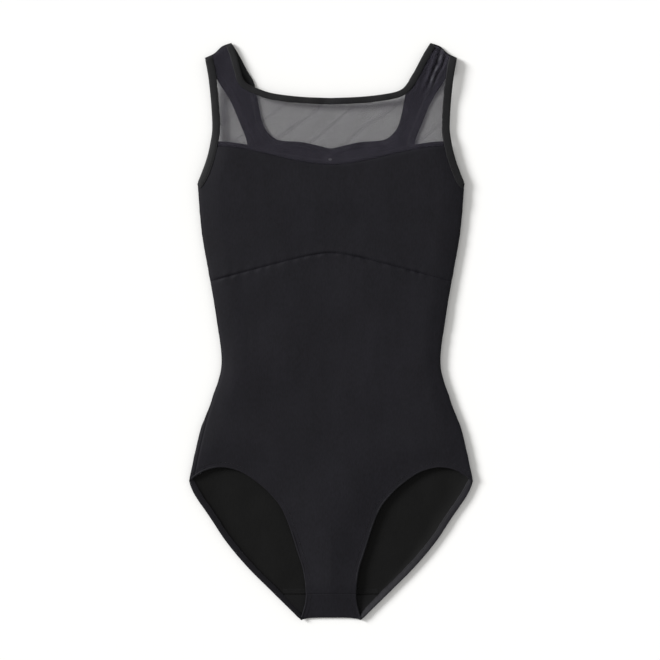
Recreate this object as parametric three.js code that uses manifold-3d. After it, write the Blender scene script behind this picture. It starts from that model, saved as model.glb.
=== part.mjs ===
// A sleeveless gymnastics leotard with a sheer yoke, lying on its back on a flat surface.
// Millimetres, +Z up, +Y towards the shoulders, X = 0 on the centre line, origin under the middle of its box.
import * as THREE from 'three';
import { mergeVertices } from 'three/addons/utils/BufferGeometryUtils.js';
import Module from 'manifold-3d';

const wasm = await Module();
wasm.setup();

// Overall sizes of the garment as it lies.
const LENGTH = 693;                // shoulder corner to crotch fold
const BUST_HALF = 160;             // half width at the underarm
const WAIST_HALF = 131.4;
const HIP_HALF = 170.5;            // half width at the top corner of the leg opening
const CROTCH_HALF = 37;            // half width of the crotch fold
const TOP = LENGTH / 2;
const BOTTOM = -LENGTH / 2;

// Heights along the garment, from the shoulder corner down or from the crotch fold up.
const UNDERARM_Y = TOP - 169.5;
const WAIST_Y = TOP - 385.5;
const HIP_Y = BOTTOM + 166.5;
const SHOULDER_OUT = { x: 151, y: TOP - 18 };
const SHOULDER_IN = { x: 120, y: TOP };
const ACROSS_FRONT_HALF = 142.2;   // narrowest half width of the yoke between the armholes
const ACROSS_BACK_HALF = 100;      // where the back strap leaves the back panel
const FRONT_NECK_Y = TOP - 67;
const BACK_NECK_Y = TOP - 127.5;
const SWEETHEART = { centre: TOP - 147, side: TOP - 119 };
const UNDERBUST = { centre: TOP - 252.5, side: TOP - 286.5 };
const FRONT_CROTCH_SEAM_Y = BOTTOM + 31.5;
const BACK_CROTCH_SEAM_Y = BOTTOM + 30;

// Cloth, bindings and trims.
const KNIT = 0.8;                  // thickness of the body knit
const MESH = 0.5;                  // thickness of the sheer mesh
const TRIM = 0.6;                  // thickness of linings, elastics and overlocked edges
const CLEAR = 0.3;                 // gap between pieces that touch
const BINDING_LEG = 0.5;           // thickness of each leg of a folded binding
const NECK_BINDING_WIDTH = 7.2;
const ARM_BINDING_WIDTH = 9;
const ELASTIC_WIDTH = 6;
const OVERLOCK_WIDTH = 6;
const LABEL = { width: 20, height: 14, thickness: 0.3 };

// How the two layers stand off each other and off the ground.
const LAYER_GAP = 2 * KNIT + 2 * BINDING_LEG + 0.6;   // from back to front cloth where they meet
const CROWN = 7;                   // extra height of the front over the middle of the garment
const EDGE_LIFT = 3;               // how far the side edges curl up off the ground
const STRAP_LIFT = CLEAR + BINDING_LEG + 0.2;         // keeps the bindings under the straps off the ground
const STRAP_RAMP_START = 50;       // the back cloth begins to rise this far below the underarm
const STRAP_RAMP = 35;
const FLAT_SHARE = 0.82;           // share of the half width that lies flat
const SHOULDER_RAMP = 55;          // length over which the front comes down to the shoulder
const CROTCH_RAMP = 45;
const LINK = 6;                    // half size of the spot where a band turns from front to back
const SMOOTHING = 0.02;            // steps smaller than this are left out of the surfaces
const FAR = 400;

const COLOURS = { knit: 0x222126, lining: 0x1c1b1f, mesh: 0x4a484e, binding: 0x262528, elastic: 0x141416,
  thread: 0x2d2c30, label: 0xb9b7b4 };

const mix = (a, b, t) => a + (b - a) * t;
const point = (x, y) => new THREE.Vector2(x, y);

// A point some way from corner a to corner b, with its own share of the way across and of the way along.
const between = (a, b, across, along) => point(mix(a.x, b.x, across), mix(a.y, b.y, along));

const curve = (points, pieces) => new THREE.SplineCurve(points).getPoints(pieces);

// Corners of the right half of the garment.
const underarm = point(BUST_HALF, UNDERARM_Y);
const waist = point(WAIST_HALF, WAIST_Y);
const hip = point(HIP_HALF, HIP_Y);
const crotch = point(CROTCH_HALF, BOTTOM);
const shoulderOut = point(SHOULDER_OUT.x, SHOULDER_OUT.y);
const shoulderIn = point(SHOULDER_IN.x, SHOULDER_IN.y);
const acrossFront = point(ACROSS_FRONT_HALF, mix(UNDERARM_Y, SHOULDER_OUT.y, 0.475));
const acrossBack = point(ACROSS_BACK_HALF, mix(UNDERARM_Y, SHOULDER_OUT.y, 0.317));
const frontNeck = point(0, FRONT_NECK_Y);
const backNeck = point(0, BACK_NECK_Y);

// Edges of the right half. Each runs upwards or outwards.
const sideEdge = curve([
  hip,
  between(waist, hip, 0.68, 0.6),
  between(waist, hip, 0.29, 0.3),
  waist,
  between(underarm, waist, 0.77, 0.735),
  between(underarm, waist, 0.52, 0.535),
  between(underarm, waist, 0.17, 0.27),
  underarm,
], 16);

const backLeg = curve([
  crotch,
  between(crotch, hip, 0.26, 0.205),
  between(crotch, hip, 0.48, 0.382),
  between(crotch, hip, 0.666, 0.56),
  between(crotch, hip, 0.81, 0.734),
  between(crotch, hip, 0.955, 0.905),
  hip,
], 10);

const frontLeg = curve([
  crotch,
  between(crotch, hip, -0.05, 0.155),
  between(crotch, hip, -0.03, 0.34),
  between(crotch, hip, 0.02, 0.475),
  between(crotch, hip, 0.14, 0.76),
  between(crotch, hip, 0.26, 0.9),
  between(crotch, hip, 0.4, 1.0),
  between(crotch, hip, 0.54, 1.07),
  between(crotch, hip, 0.71, 1.1),
  between(crotch, hip, 0.87, 1.07),
  hip,
], 20);

const frontArm = curve([
  underarm,
  between(underarm, acrossFront, 0.6, 0.395),
  between(underarm, acrossFront, 0.88, 0.69),
  acrossFront,
  between(acrossFront, shoulderOut, 0.4, 0.6),
  shoulderOut,
], 10);

const backArm = curve([
  underarm,
  between(underarm, acrossBack, 0.34, 0.05),
  between(underarm, acrossBack, 0.7, 0.24),
  between(underarm, acrossBack, 0.95, 0.58),
  acrossBack,
  between(acrossBack, shoulderOut, 0.2, 0.27),
  between(acrossBack, shoulderOut, 0.42, 0.52),
  between(acrossBack, shoulderOut, 0.69, 0.725),
  shoulderOut,
], 16);

const shoulderLine = [
  shoulderOut,
  between(shoulderOut, shoulderIn, 0.35, 0.3),
  between(shoulderOut, shoulderIn, 0.65, 0.78),
  shoulderIn,
];

const strapInside = [
  between(frontNeck, shoulderIn, 0.775, 0.29),
  between(frontNeck, shoulderIn, 0.845, 0.51),
  between(frontNeck, shoulderIn, 0.93, 0.8),
  shoulderIn,
];

const frontNeckEdge = curve([
  frontNeck,
  between(frontNeck, shoulderIn, 0.29, 0.021),
  between(frontNeck, shoulderIn, 0.555, 0.076),
  between(frontNeck, shoulderIn, 0.7, 0.148),
  ...strapInside,
], 16);

const backNeckEdge = curve([
  backNeck,
  between(backNeck, shoulderIn, 0.27, 0.06),
  between(backNeck, shoulderIn, 0.45, 0.073),
  between(backNeck, shoulderIn, 0.56, 0.094),
  between(backNeck, shoulderIn, 0.65, 0.173),
  between(backNeck, shoulderIn, 0.7, 0.283),
  between(backNeck, shoulderIn, 0.74, 0.47),
  ...strapInside,
], 20);

// Seams across the front, from the centre outwards, carried on past the side.
const seam = (centreY, sideY, half, shares) => curve([
  point(0, centreY),
  ...shares.map(([across, along]) => point(half * across, mix(centreY, sideY, along))),
  point(half, sideY),
  point(half * 1.2, sideY),
], 10);

const sweetheart = seam(SWEETHEART.centre, SWEETHEART.side, ACROSS_FRONT_HALF,
  [[0.28, 0.2], [0.46, 0.48], [0.7, 0.81], [0.93, 0.97]]);
const underbust = seam(UNDERBUST.centre, UNDERBUST.side, WAIST_HALF * 1.1,
  [[0.18, 0.13], [0.4, 0.28], [0.57, 0.48], [0.75, 0.71], [0.9, 0.9]]);

// The outer edge of the whole garment, upwards, gives the half width at each height.
const silhouette = [...backLeg, ...sideEdge.slice(1), ...frontArm.slice(1)];

function halfWidth(y) {
  const next = silhouette.findIndex((p) => p.y > y);
  if (next < 0) return silhouette[silhouette.length - 1].x;
  if (next === 0) return silhouette[0].x;
  const a = silhouette[next - 1];
  const b = silhouette[next];
  return mix(a.x, b.x, (y - a.y) / (b.y - a.y));
}

// Every cloth layer is cut out of the same grid of heights, so layers lie one over another without crossing.
const ROWS = 32;
const rows = Array.from({ length: ROWS + 1 }, (_, i) => mix(BOTTOM - 4, TOP + 4, i / ROWS));
const rollShares = [0, 0.35, 0.7, 1].map((t) => mix(FLAT_SHARE, 1, t));
const sideShares = [...rollShares, 1.25];
const columns = [...sideShares.map((s) => -s).reverse(), ...sideShares];

const ease = (t) => THREE.MathUtils.smoothstep(t, 0, 1);
const roll = (share) => Math.cos(Math.PI / 2 * THREE.MathUtils.clamp((share - FLAT_SHARE) / (1 - FLAT_SHARE), 0, 1));

// Underside of the back cloth: flat on the ground, curling up at the sides, a little higher under the straps.
const backHeight = (share, y) => EDGE_LIFT * (1 - roll(share))
  + STRAP_LIFT * ease((y - UNDERARM_Y + STRAP_RAMP_START) / STRAP_RAMP);

// Underside of the front cloth.
const frontHeight = (share, y) => backHeight(share, y) + LAYER_GAP
  + CROWN * roll(share) * ease((TOP - y) / SHOULDER_RAMP) * ease((y - BOTTOM) / CROTCH_RAMP);

function solidOf(positions, triangles) {
  const mesh = new wasm.Mesh({
    numProp: 3,
    vertProperties: new Float32Array(positions),
    triVerts: new Uint32Array(triangles),
  });
  return new wasm.Manifold(mesh);
}

// A slab over the whole garment between two of these surfaces, each moved up by its own offset.
function layer(lowSurface, low, highSurface, high) {
  const positions = [];
  for (const [surface, offset] of [[lowSurface, low], [highSurface, high]]) {
    for (const y of rows) {
      for (const share of columns) {
        positions.push(share * halfWidth(y), y, surface(Math.abs(share), y) + offset);
      }
    }
  }
  const across = columns.length;
  const sheet = rows.length * across;
  const triangles = [];
  const quad = (a, b, c, d) => triangles.push(a, b, c, a, c, d);
  for (let r = 0; r < rows.length - 1; r++) {
    for (let c = 0; c < across - 1; c++) {
      const k = r * across + c;
      quad(k, k + across, k + across + 1, k + 1);
      quad(sheet + k, sheet + k + 1, sheet + k + across + 1, sheet + k + across);
    }
    const left = r * across;
    const right = left + across - 1;
    quad(left, sheet + left, sheet + left + across, left + across);
    quad(right, right + across, sheet + right + across, sheet + right);
  }
  for (let c = 0; c < across - 1; c++) {
    const end = (rows.length - 1) * across + c;
    quad(c, c + 1, sheet + c + 1, sheet + c);
    quad(end, sheet + end, sheet + end + 1, end + 1);
  }
  return solidOf(positions, triangles);
}

// The space above and below an outline.
function prism(outline) {
  const geometry = new THREE.ExtrudeGeometry(new THREE.Shape(outline), { depth: 80, bevelEnabled: false });
  geometry.translate(0, 0, -20);
  geometry.deleteAttribute('normal');
  geometry.deleteAttribute('uv');
  const merged = mergeVertices(geometry, 1e-4);
  return solidOf(merged.attributes.position.array, merged.index.array);
}

const flip = (points) => points.map((p) => point(-p.x, p.y));

// A closed outline from its right half, which runs from the centre line round to the centre line.
const bothSides = (half) => [...half, ...flip(half).reverse().filter((p) => p.x < -0.01)];

const rectangle = (left, right, low, high) => prism([
  point(left, low),
  point(right, low),
  point(right, high),
  point(left, high),
]);
const squareAt = (centre, half) => rectangle(centre.x - half, centre.x + half, centre.y - half, centre.y + half);

// Everything above or below a seam, which is given from the centre line outwards.
function above(line, shift) {
  const full = [...flip(line).reverse(), ...line.slice(1)].map((p) => point(p.x, p.y + shift));
  return prism([...full, point(FAR, FAR * 2), point(-FAR, FAR * 2)]);
}
function below(line, shift) {
  const full = [...flip(line).reverse(), ...line.slice(1)].map((p) => point(p.x, p.y + shift));
  return prism([point(-FAR, -FAR * 2), point(FAR, -FAR * 2), ...full.reverse()]);
}

// The same edge carried straight on past both ends.
function extended(edge, extra) {
  const carry = (end, before) => end.clone().add(end.clone().sub(before).setLength(extra));
  const last = edge.length - 1;
  return [carry(edge[0], edge[1]), ...edge, carry(edge[last], edge[last - 1])];
}

// An edge moved sideways into the cloth. Every edge runs upwards with the cloth on its left.
function inset(edge, distance) {
  return edge.map((p, i) => {
    const before = edge[Math.max(i - 1, 0)];
    const after = edge[Math.min(i + 1, edge.length - 1)];
    const along = after.clone().sub(before).normalize();
    return point(p.x - along.y * distance, p.y + along.x * distance);
  });
}

// The strip along an edge between two distances into the cloth.
function strip(edge, from, to, extra = LINK) {
  const line = extended(edge, extra);
  return prism([...inset(line, from), ...inset(line, to).reverse()]);
}

// Outlines of the front, the back and the whole.
const rightSide = [...sideEdge.slice(1), ...frontArm.slice(1)];
const frontOutline = bothSides([point(0, BOTTOM), ...frontLeg, ...rightSide, ...shoulderLine.slice(1),
  ...frontNeckEdge.slice(0, -1).reverse()]);
const backOutline = bothSides([point(0, BOTTOM), ...backLeg, ...sideEdge.slice(1), ...backArm.slice(1),
  ...shoulderLine.slice(1), ...backNeckEdge.slice(0, -1).reverse()]);
const frontShape = prism(frontOutline);
const backShape = prism(backOutline);
const wholeShape = frontShape.add(backShape);

const mirrored = (solid) => solid.mirror([1, 0, 0]);
const withMirror = (solid) => solid.add(mirrored(solid));

// The neck edges run from the centre outwards, so the cloth is on their right: turned round, it is on their left.
const neckFront = [...frontNeckEdge].reverse();
const neckBack = [...backNeckEdge].reverse();
const gap = CLEAR / 2;

const backSheet = (low, high) => layer(backHeight, low, backHeight, high);
const frontSheet = (low, high) => layer(frontHeight, low, frontHeight, high);

// Levels of the trims that lie between the two cloths, measured from each cloth's underside.
const ON_BACK = KNIT + CLEAR;
const UNDER_FRONT = -CLEAR;

// Joins the front and the back half of a band at the corner where it turns from one cloth to the other.
function link(low, high, front, back, from, to, corner) {
  return layer(backHeight, low, frontHeight, high)
    .intersect(strip(front, from, to))
    .intersect(strip(back, from, to))
    .intersect(squareAt(corner, LINK));
}

// A folded binding: a strip of cloth turned over the edge, with the edge held in its slot.
const BINDING_LOW = -CLEAR - BINDING_LEG;
const BINDING_HIGH = KNIT + CLEAR + BINDING_LEG;

function bindingHalf(sheet, edge, width, shape) {
  const outside = sheet(BINDING_LOW, BINDING_HIGH).intersect(strip(edge, 0, width));
  const slot = sheet(-CLEAR, KNIT + CLEAR).intersect(strip(edge, BINDING_LEG, width + 1, LINK * 2));
  return outside.subtract(slot).intersect(shape);
}

function binding(front, back, width, corners) {
  const halves = bindingHalf(frontSheet, front, width, frontShape)
    .add(bindingHalf(backSheet, back, width, backShape));
  return corners.reduce((solid, corner) => {
    const turn = link(BINDING_LOW, BINDING_HIGH, front, back, 0, width, corner);
    return solid.add(turn.intersect(wholeShape));
  }, halves);
}

// Where a cloth stops inside a binding, and where it makes room for the binding's turns.
function boundEdge(sheet, front, back, edge, width, corners) {
  const trimmed = sheet.subtract(strip(edge, -LINK, BINDING_LEG + CLEAR, LINK * 2));
  return corners.reduce((solid, corner) => {
    const turn = strip(front, -1, width + CLEAR)
      .intersect(strip(back, -1, width + CLEAR))
      .intersect(squareAt(corner, LINK + CLEAR));
    return solid.subtract(turn);
  }, trimmed);
}

const armCorners = [underarm, shoulderOut];
const boundCloth = (sheet, arm, neck) => {
  const rightArm = boundEdge(sheet, frontArm, backArm, arm, ARM_BINDING_WIDTH, armCorners);
  const rightNeck = boundEdge(rightArm, neckFront, neckBack, neck, NECK_BINDING_WIDTH, [shoulderIn]);
  const leftSide = mirrored(rightNeck);
  return rightNeck.intersect(leftSide);
};

// Room round the bands for the thin trims inside the garment.
const roomForArm = (edge) => withMirror(strip(edge, -1, ARM_BINDING_WIDTH + CLEAR, LINK + CLEAR));
const roomForNeck = (edge) => withMirror(strip(edge, -1, NECK_BINDING_WIDTH + CLEAR, LINK + CLEAR));
const roomForLeg = (edge) => withMirror(strip(edge, -1, 1 + ELASTIC_WIDTH + CLEAR, LINK + CLEAR));
const roomForSide = withMirror(strip(sideEdge, -LINK, OVERLOCK_WIDTH + CLEAR));

const crotchSeam = [point(0, FRONT_CROTCH_SEAM_Y), point(BUST_HALF, FRONT_CROTCH_SEAM_Y)];
const backCrotchSeam = [point(0, BACK_CROTCH_SEAM_Y), point(BUST_HALF, BACK_CROTCH_SEAM_Y)];

function frontBody() {
  return frontSheet(0, KNIT)
    .intersect(frontShape)
    .intersect(below(underbust, -gap))
    .intersect(above(crotchSeam, gap));
}

function frontBodice() {
  const cloth = frontSheet(0, KNIT)
    .intersect(frontShape)
    .intersect(above(underbust, gap))
    .intersect(below(sweetheart, -gap));
  return boundCloth(cloth, frontArm, neckFront);
}

function frontYoke() {
  const cloth = frontSheet(0, MESH)
    .intersect(frontShape)
    .intersect(above(sweetheart, gap));
  return boundCloth(cloth, frontArm, neckFront);
}

function bodiceLining() {
  return frontSheet(UNDER_FRONT - TRIM, UNDER_FRONT)
    .intersect(frontShape)
    .intersect(above(underbust, OVERLOCK_WIDTH / 2 + CLEAR))
    .intersect(below(sweetheart, -gap))
    .subtract(roomForArm(frontArm))
    .subtract(roomForSide);
}

function backBody() {
  const cloth = backSheet(0, KNIT)
    .intersect(backShape)
    .intersect(above(backCrotchSeam, gap));
  return boundCloth(cloth, backArm, neckBack);
}

// The gusset runs from the seam on the front, over the crotch fold, to the seam on the back.
const FOLD_WALL = 2.5;
const FOLD_HALF = CROTCH_HALF - ELASTIC_WIDTH - 2 * LINK / 3 - 1;

function gusset() {
  const front = frontSheet(0, KNIT)
    .intersect(frontShape)
    .intersect(below(crotchSeam, -gap));
  const back = backSheet(0, KNIT)
    .intersect(backShape)
    .intersect(below(backCrotchSeam, -gap));
  const fold = layer(backHeight, 0, frontHeight, KNIT)
    .intersect(rectangle(-FOLD_HALF, FOLD_HALF, BOTTOM, BOTTOM + FOLD_WALL));
  return front.add(back).add(fold);
}

// The lining is caught in the same two seams, between the leg elastics.
function crotchLining() {
  const start = BOTTOM + FOLD_WALL + CLEAR;
  const end = OVERLOCK_WIDTH / 2 + CLEAR;
  const underFront = frontSheet(UNDER_FRONT - TRIM, UNDER_FRONT)
    .intersect(frontShape)
    .intersect(rectangle(-CROTCH_HALF, CROTCH_HALF, start, FRONT_CROTCH_SEAM_Y - end))
    .subtract(roomForLeg(frontLeg));
  const onBack = backSheet(ON_BACK, ON_BACK + TRIM)
    .intersect(backShape)
    .intersect(rectangle(-BUST_HALF, BUST_HALF, start, BACK_CROTCH_SEAM_Y - end))
    .subtract(roomForLeg(backLeg));
  const fold = layer(backHeight, ON_BACK, frontHeight, UNDER_FRONT)
    .intersect(rectangle(-FOLD_HALF, FOLD_HALF, start, start + TRIM * 2))
    .subtract(roomForLeg(frontLeg));
  return underFront.add(onBack).add(fold);
}

function legElastic() {
  const from = 1;
  const to = from + ELASTIC_WIDTH;
  const onFront = frontSheet(UNDER_FRONT - TRIM, UNDER_FRONT)
    .intersect(strip(frontLeg, from, to))
    .intersect(frontShape);
  const onBack = backSheet(ON_BACK, ON_BACK + TRIM)
    .intersect(strip(backLeg, from, to))
    .intersect(backShape);
  const turns = [crotch, hip].map((corner) => link(ON_BACK, UNDER_FRONT, frontLeg, backLeg, from, to, corner));
  return turns.reduce((solid, turn) => solid.add(turn.intersect(wholeShape)), onFront.add(onBack));
}

function sweetheartOverlock() {
  return frontSheet(UNDER_FRONT - TRIM, UNDER_FRONT)
    .intersect(frontShape)
    .intersect(above(sweetheart, gap))
    .intersect(below(sweetheart, gap + OVERLOCK_WIDTH))
    .subtract(roomForArm(frontArm));
}

function underbustOverlock() {
  return frontSheet(UNDER_FRONT - TRIM, UNDER_FRONT)
    .intersect(frontShape)
    .intersect(above(underbust, -OVERLOCK_WIDTH / 2))
    .intersect(below(underbust, OVERLOCK_WIDTH / 2))
    .subtract(roomForSide);
}

function frontCrotchOverlock() {
  return frontSheet(UNDER_FRONT - TRIM, UNDER_FRONT)
    .intersect(frontShape)
    .intersect(above(crotchSeam, -OVERLOCK_WIDTH / 2))
    .intersect(below(crotchSeam, OVERLOCK_WIDTH / 2))
    .subtract(roomForLeg(frontLeg));
}

function backCrotchOverlock() {
  return backSheet(ON_BACK, ON_BACK + TRIM)
    .intersect(backShape)
    .intersect(above(backCrotchSeam, -OVERLOCK_WIDTH / 2))
    .intersect(below(backCrotchSeam, OVERLOCK_WIDTH / 2))
    .subtract(roomForLeg(backLeg));
}

// The joined edges of front and back lie between the two cloths at the sides and shoulders.
function sideOverlock() {
  return backSheet(ON_BACK, LAYER_GAP - CLEAR)
    .intersect(strip(sideEdge, 0, OVERLOCK_WIDTH, 0))
    .intersect(frontShape)
    .subtract(roomForArm(frontArm))
    .subtract(roomForArm(backArm))
    .subtract(roomForLeg(frontLeg))
    .subtract(roomForLeg(backLeg));
}

function shoulderOverlock() {
  return backSheet(ON_BACK, LAYER_GAP - CLEAR)
    .intersect(strip(shoulderLine, 0, OVERLOCK_WIDTH, 0))
    .intersect(frontShape.intersect(backShape))
    .subtract(roomForArm(frontArm))
    .subtract(roomForArm(backArm))
    .subtract(roomForNeck(neckFront));
}

function careLabel() {
  const top = BACK_NECK_Y - NECK_BINDING_WIDTH - 2;
  return backSheet(ON_BACK, ON_BACK + LABEL.thickness)
    .intersect(rectangle(-LABEL.width / 2, LABEL.width / 2, top - LABEL.height, top));
}

const group = new THREE.Group();

function put(name, solid, colour, roughness = 0.9) {
  const { vertProperties, triVerts } = solid.simplify(SMOOTHING).getMesh();
  const geometry = new THREE.BufferGeometry();
  geometry.setAttribute('position', new THREE.BufferAttribute(new Float32Array(vertProperties), 3));
  geometry.setIndex(new THREE.BufferAttribute(new Uint32Array(triVerts), 1));
  geometry.computeVertexNormals();
  const material = new THREE.MeshStandardMaterial({ color: colour, roughness, metalness: 0 });
  const mesh = new THREE.Mesh(geometry, material);
  mesh.name = name;
  group.add(mesh);
}

// Left and right are the wearer's: the wearer's left lies at +X.
function putPair(name, solid, colour) {
  put(`left_${name}`, solid, colour);
  put(`right_${name}`, mirrored(solid), colour);
}

put('front_body', frontBody(), COLOURS.knit);
put('front_bodice', frontBodice(), COLOURS.knit);
put('front_bodice_lining', bodiceLining(), COLOURS.lining);
put('front_yoke_mesh', frontYoke(), COLOURS.mesh);
put('back_body', backBody(), COLOURS.knit);
put('gusset', gusset(), COLOURS.knit);
put('crotch_lining', crotchLining(), COLOURS.lining);
put('neck_binding', withMirror(binding(neckFront, neckBack, NECK_BINDING_WIDTH, [shoulderIn])), COLOURS.binding);
putPair('armhole_binding', binding(frontArm, backArm, ARM_BINDING_WIDTH, armCorners), COLOURS.binding);
putPair('leg_elastic', legElastic(), COLOURS.elastic);
put('sweetheart_overlock', sweetheartOverlock(), COLOURS.thread);
put('underbust_overlock', underbustOverlock(), COLOURS.thread);
put('front_crotch_overlock', frontCrotchOverlock(), COLOURS.thread);
put('back_crotch_overlock', backCrotchOverlock(), COLOURS.thread);
putPair('side_overlock', sideOverlock(), COLOURS.thread);
putPair('shoulder_overlock', shoulderOverlock(), COLOURS.thread);
put('care_label', careLabel(), COLOURS.label);

export default group;
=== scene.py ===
import math
import bmesh
import bpy
import mathutils
import numpy as np
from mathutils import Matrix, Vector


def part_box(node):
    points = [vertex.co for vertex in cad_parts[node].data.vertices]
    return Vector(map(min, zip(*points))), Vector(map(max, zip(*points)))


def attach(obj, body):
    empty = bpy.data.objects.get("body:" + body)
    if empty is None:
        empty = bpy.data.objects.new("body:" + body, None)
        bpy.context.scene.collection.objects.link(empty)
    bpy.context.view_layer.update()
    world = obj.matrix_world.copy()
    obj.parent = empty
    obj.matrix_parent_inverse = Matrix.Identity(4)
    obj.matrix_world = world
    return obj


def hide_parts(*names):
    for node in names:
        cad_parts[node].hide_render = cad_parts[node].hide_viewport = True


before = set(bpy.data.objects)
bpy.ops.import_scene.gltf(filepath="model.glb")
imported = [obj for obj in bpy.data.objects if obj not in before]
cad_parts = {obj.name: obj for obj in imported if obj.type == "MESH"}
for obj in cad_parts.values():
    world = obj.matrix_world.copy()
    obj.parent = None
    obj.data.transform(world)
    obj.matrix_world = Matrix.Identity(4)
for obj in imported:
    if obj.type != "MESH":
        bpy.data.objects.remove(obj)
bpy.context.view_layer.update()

mm = 0.001
print("frame loaded")


def placed(name, data):
    made = bpy.data.objects.new(name, data)
    bpy.context.scene.collection.objects.link(made)
    return made


# camera: straight above the laid garment, its shoulders towards the top
lens = {"height": 2.6, "span": 0.792, "spanAt": 8 * mm, "sensor": 36, "aside": -1.2 * mm, "along": 1.5 * mm}
cameraData = bpy.data.cameras.new("camera")
cameraData.sensor_width = lens["sensor"]
cameraData.lens = lens["sensor"] * (lens["height"] - lens["spanAt"]) / lens["span"]
camera = placed("camera", cameraData)
camera.location = (lens["aside"], lens["along"], lens["height"])
bpy.context.scene.camera = camera


# corners and edges of the wearer's left half, which lies at +X
def low(node):
    return np.array(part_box(node)[0])


def high(node):
    return np.array(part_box(node)[1])


top = high("neck_binding")[1]
bottom = low("gusset")[1]
cloth = {"knit": 0.8 * mm, "mesh": 0.45 * mm, "lining": 0.6 * mm, "gap": 3.2 * mm}
stand = {"crown": 6.2 * mm, "edgeLift": 3 * mm, "strapLift": 1 * mm, "flatShare": 0.82, "nose": 5 * mm,
         "shoulderRamp": 0.055, "crotchRamp": 0.045, "strapRampStart": 0.05, "strapRamp": 0.035}

# each corner: how far out it lies, and how far down from the shoulders, up from the crotch or, for the
# two that lie across the body, what share of the way up the armhole
underarm = np.array([high("left_armhole_binding")[0], top - 0.1695])
waist = np.array([0.1314, top - 0.3855])
hip = np.array([high("front_body")[0], bottom + 0.1665])
crotch = np.array([0.037, bottom])
shoulderOut = np.array([0.151, top - 0.018])
shoulderIn = np.array([0.120, top])
acrossFront = np.array([0.1422, underarm[1] + 0.475 * (shoulderOut[1] - underarm[1])])
acrossBack = np.array([0.100, underarm[1] + 0.317 * (shoulderOut[1] - underarm[1])])
frontNeck = np.array([0, top - 0.067])
backNeck = np.array([0, top - 0.1275])
# the heights of a seam at the centre and at its ends
sweetheartY = (top - 0.147, top - 0.1242)
underbustY = (top - 0.2525, top - 0.2865)
frontCrotchY = bottom + 0.0315
backCrotchY = bottom + 0.030


def between(a, b, shares):
    # points with their own shares of the way across and along from corner a to corner b
    return a + np.array(shares) * (b - a)


def curveThrough(points, count):
    # a Catmull-Rom curve: on each stretch a cubic whose slope at a point is half the step
    # from the point before it to the point after it
    p = np.asarray(points, float)
    t = np.linspace(0, len(p) - 1, count)
    i = np.minimum(t.astype(int), len(p) - 2)
    f = (t - i)[:, None]
    a, b, c, d = p[np.maximum(i - 1, 0)], p[i], p[i + 1], p[np.minimum(i + 2, len(p) - 1)]
    m, n = (c - a) / 2, (d - b) / 2
    return b + m * f + (3 * (c - b) - 2 * m - n) * f ** 2 + (2 * (b - c) + m + n) * f ** 3


def lengthAlong(line):
    return np.concatenate([[0], np.cumsum(np.linalg.norm(np.diff(line, axis=0), axis=1))])


def sampled(line, along, at):
    # every column of the line, read at other lengths along it
    return np.stack([np.interp(at, along, column) for column in line.T], axis=1)


def evenly(line, count):
    # the same line at equal steps of its own length
    along = lengthAlong(line)
    return sampled(line, along, np.linspace(0, along[-1], count))


def leftOf(line):
    # the unit normal on a line's left at each of its points
    slope = np.gradient(line, axis=0)
    slope /= np.linalg.norm(slope, axis=1)[:, None]
    return np.stack([-slope[:, 1], slope[:, 0]], axis=1)


def smoothEdge(points, count):
    return evenly(curveThrough(points, 20 * len(points)), count)


# where each edge passes between its corners, as shares of the way across and along
hipToWaist = between(waist, hip, [[0.68, 0.6], [0.29, 0.3]])
waistToUnderarm = between(underarm, waist, [[0.77, 0.735], [0.52, 0.535], [0.17, 0.27]])
backLegWay = between(crotch, hip, [[0.26, 0.205], [0.48, 0.382], [0.666, 0.56], [0.81, 0.734],
                                   [0.955, 0.905]])
frontLegWay = between(crotch, hip, [[-0.05, 0.155], [-0.03, 0.34], [0.02, 0.475], [0.14, 0.76], [0.26, 0.9],
                                    [0.4, 1.0], [0.54, 1.07], [0.71, 1.1], [0.87, 1.07]])
frontArmWay = between(underarm, acrossFront, [[0.6, 0.395], [0.88, 0.69]])
frontArmTop = between(acrossFront, shoulderOut, [[0.4, 0.6]])
backArmWay = between(underarm, acrossBack, [[0.34, 0.05], [0.7, 0.24], [0.95, 0.58]])
backArmTop = between(acrossBack, shoulderOut, [[0.2, 0.27], [0.42, 0.52], [0.69, 0.725]])
shoulderWay = between(shoulderOut, shoulderIn, [[0.35, 0.3], [0.65, 0.78]])
strapInside = between(frontNeck, shoulderIn, [[0.775, 0.29], [0.845, 0.51], [0.93, 0.8]])
strapOutside = between(frontNeck, shoulderIn, [[0.86, 0.29], [0.91, 0.51], [0.955, 0.8]])
neckFloor = between(frontNeck, shoulderIn, [[0.29, 0.021], [0.555, 0.076], [0.7, 0.148]])
backNeckWay = between(backNeck, shoulderIn, [[0.27, 0.06], [0.45, 0.073], [0.56, 0.094], [0.65, 0.173],
                                             [0.7, 0.283], [0.74, 0.47]])
# the edges, each with its number of points
sideEdge = smoothEdge([hip, *hipToWaist, waist, *waistToUnderarm, underarm], 120)
backLeg = smoothEdge([crotch, *backLegWay, hip], 90)
frontLeg = smoothEdge([crotch, *frontLegWay, hip], 110)
frontArm = smoothEdge([underarm, *frontArmWay, acrossFront, *frontArmTop, shoulderOut], 70)
backArm = smoothEdge([underarm, *backArmWay, acrossBack, *backArmTop, shoulderOut], 90)
shoulderLine = smoothEdge([shoulderOut, *shoulderWay, shoulderIn], 24)
frontNeckEdge = smoothEdge([frontNeck, *neckFloor, *strapInside, shoulderIn], 110)
frontNeckEdgeLoose = smoothEdge([frontNeck, *neckFloor, *strapOutside, shoulderIn], 110)
backNeckEdge = smoothEdge([backNeck, *backNeckWay, *strapInside, shoulderIn], 130)
silhouette = np.concatenate([backLeg, sideEdge[1:], frontArm[1:]])
fold = [[x, bottom] for x in np.linspace(0, crotch[0], 12)]
joins = np.concatenate([sideEdge, shoulderLine, fold])


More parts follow.
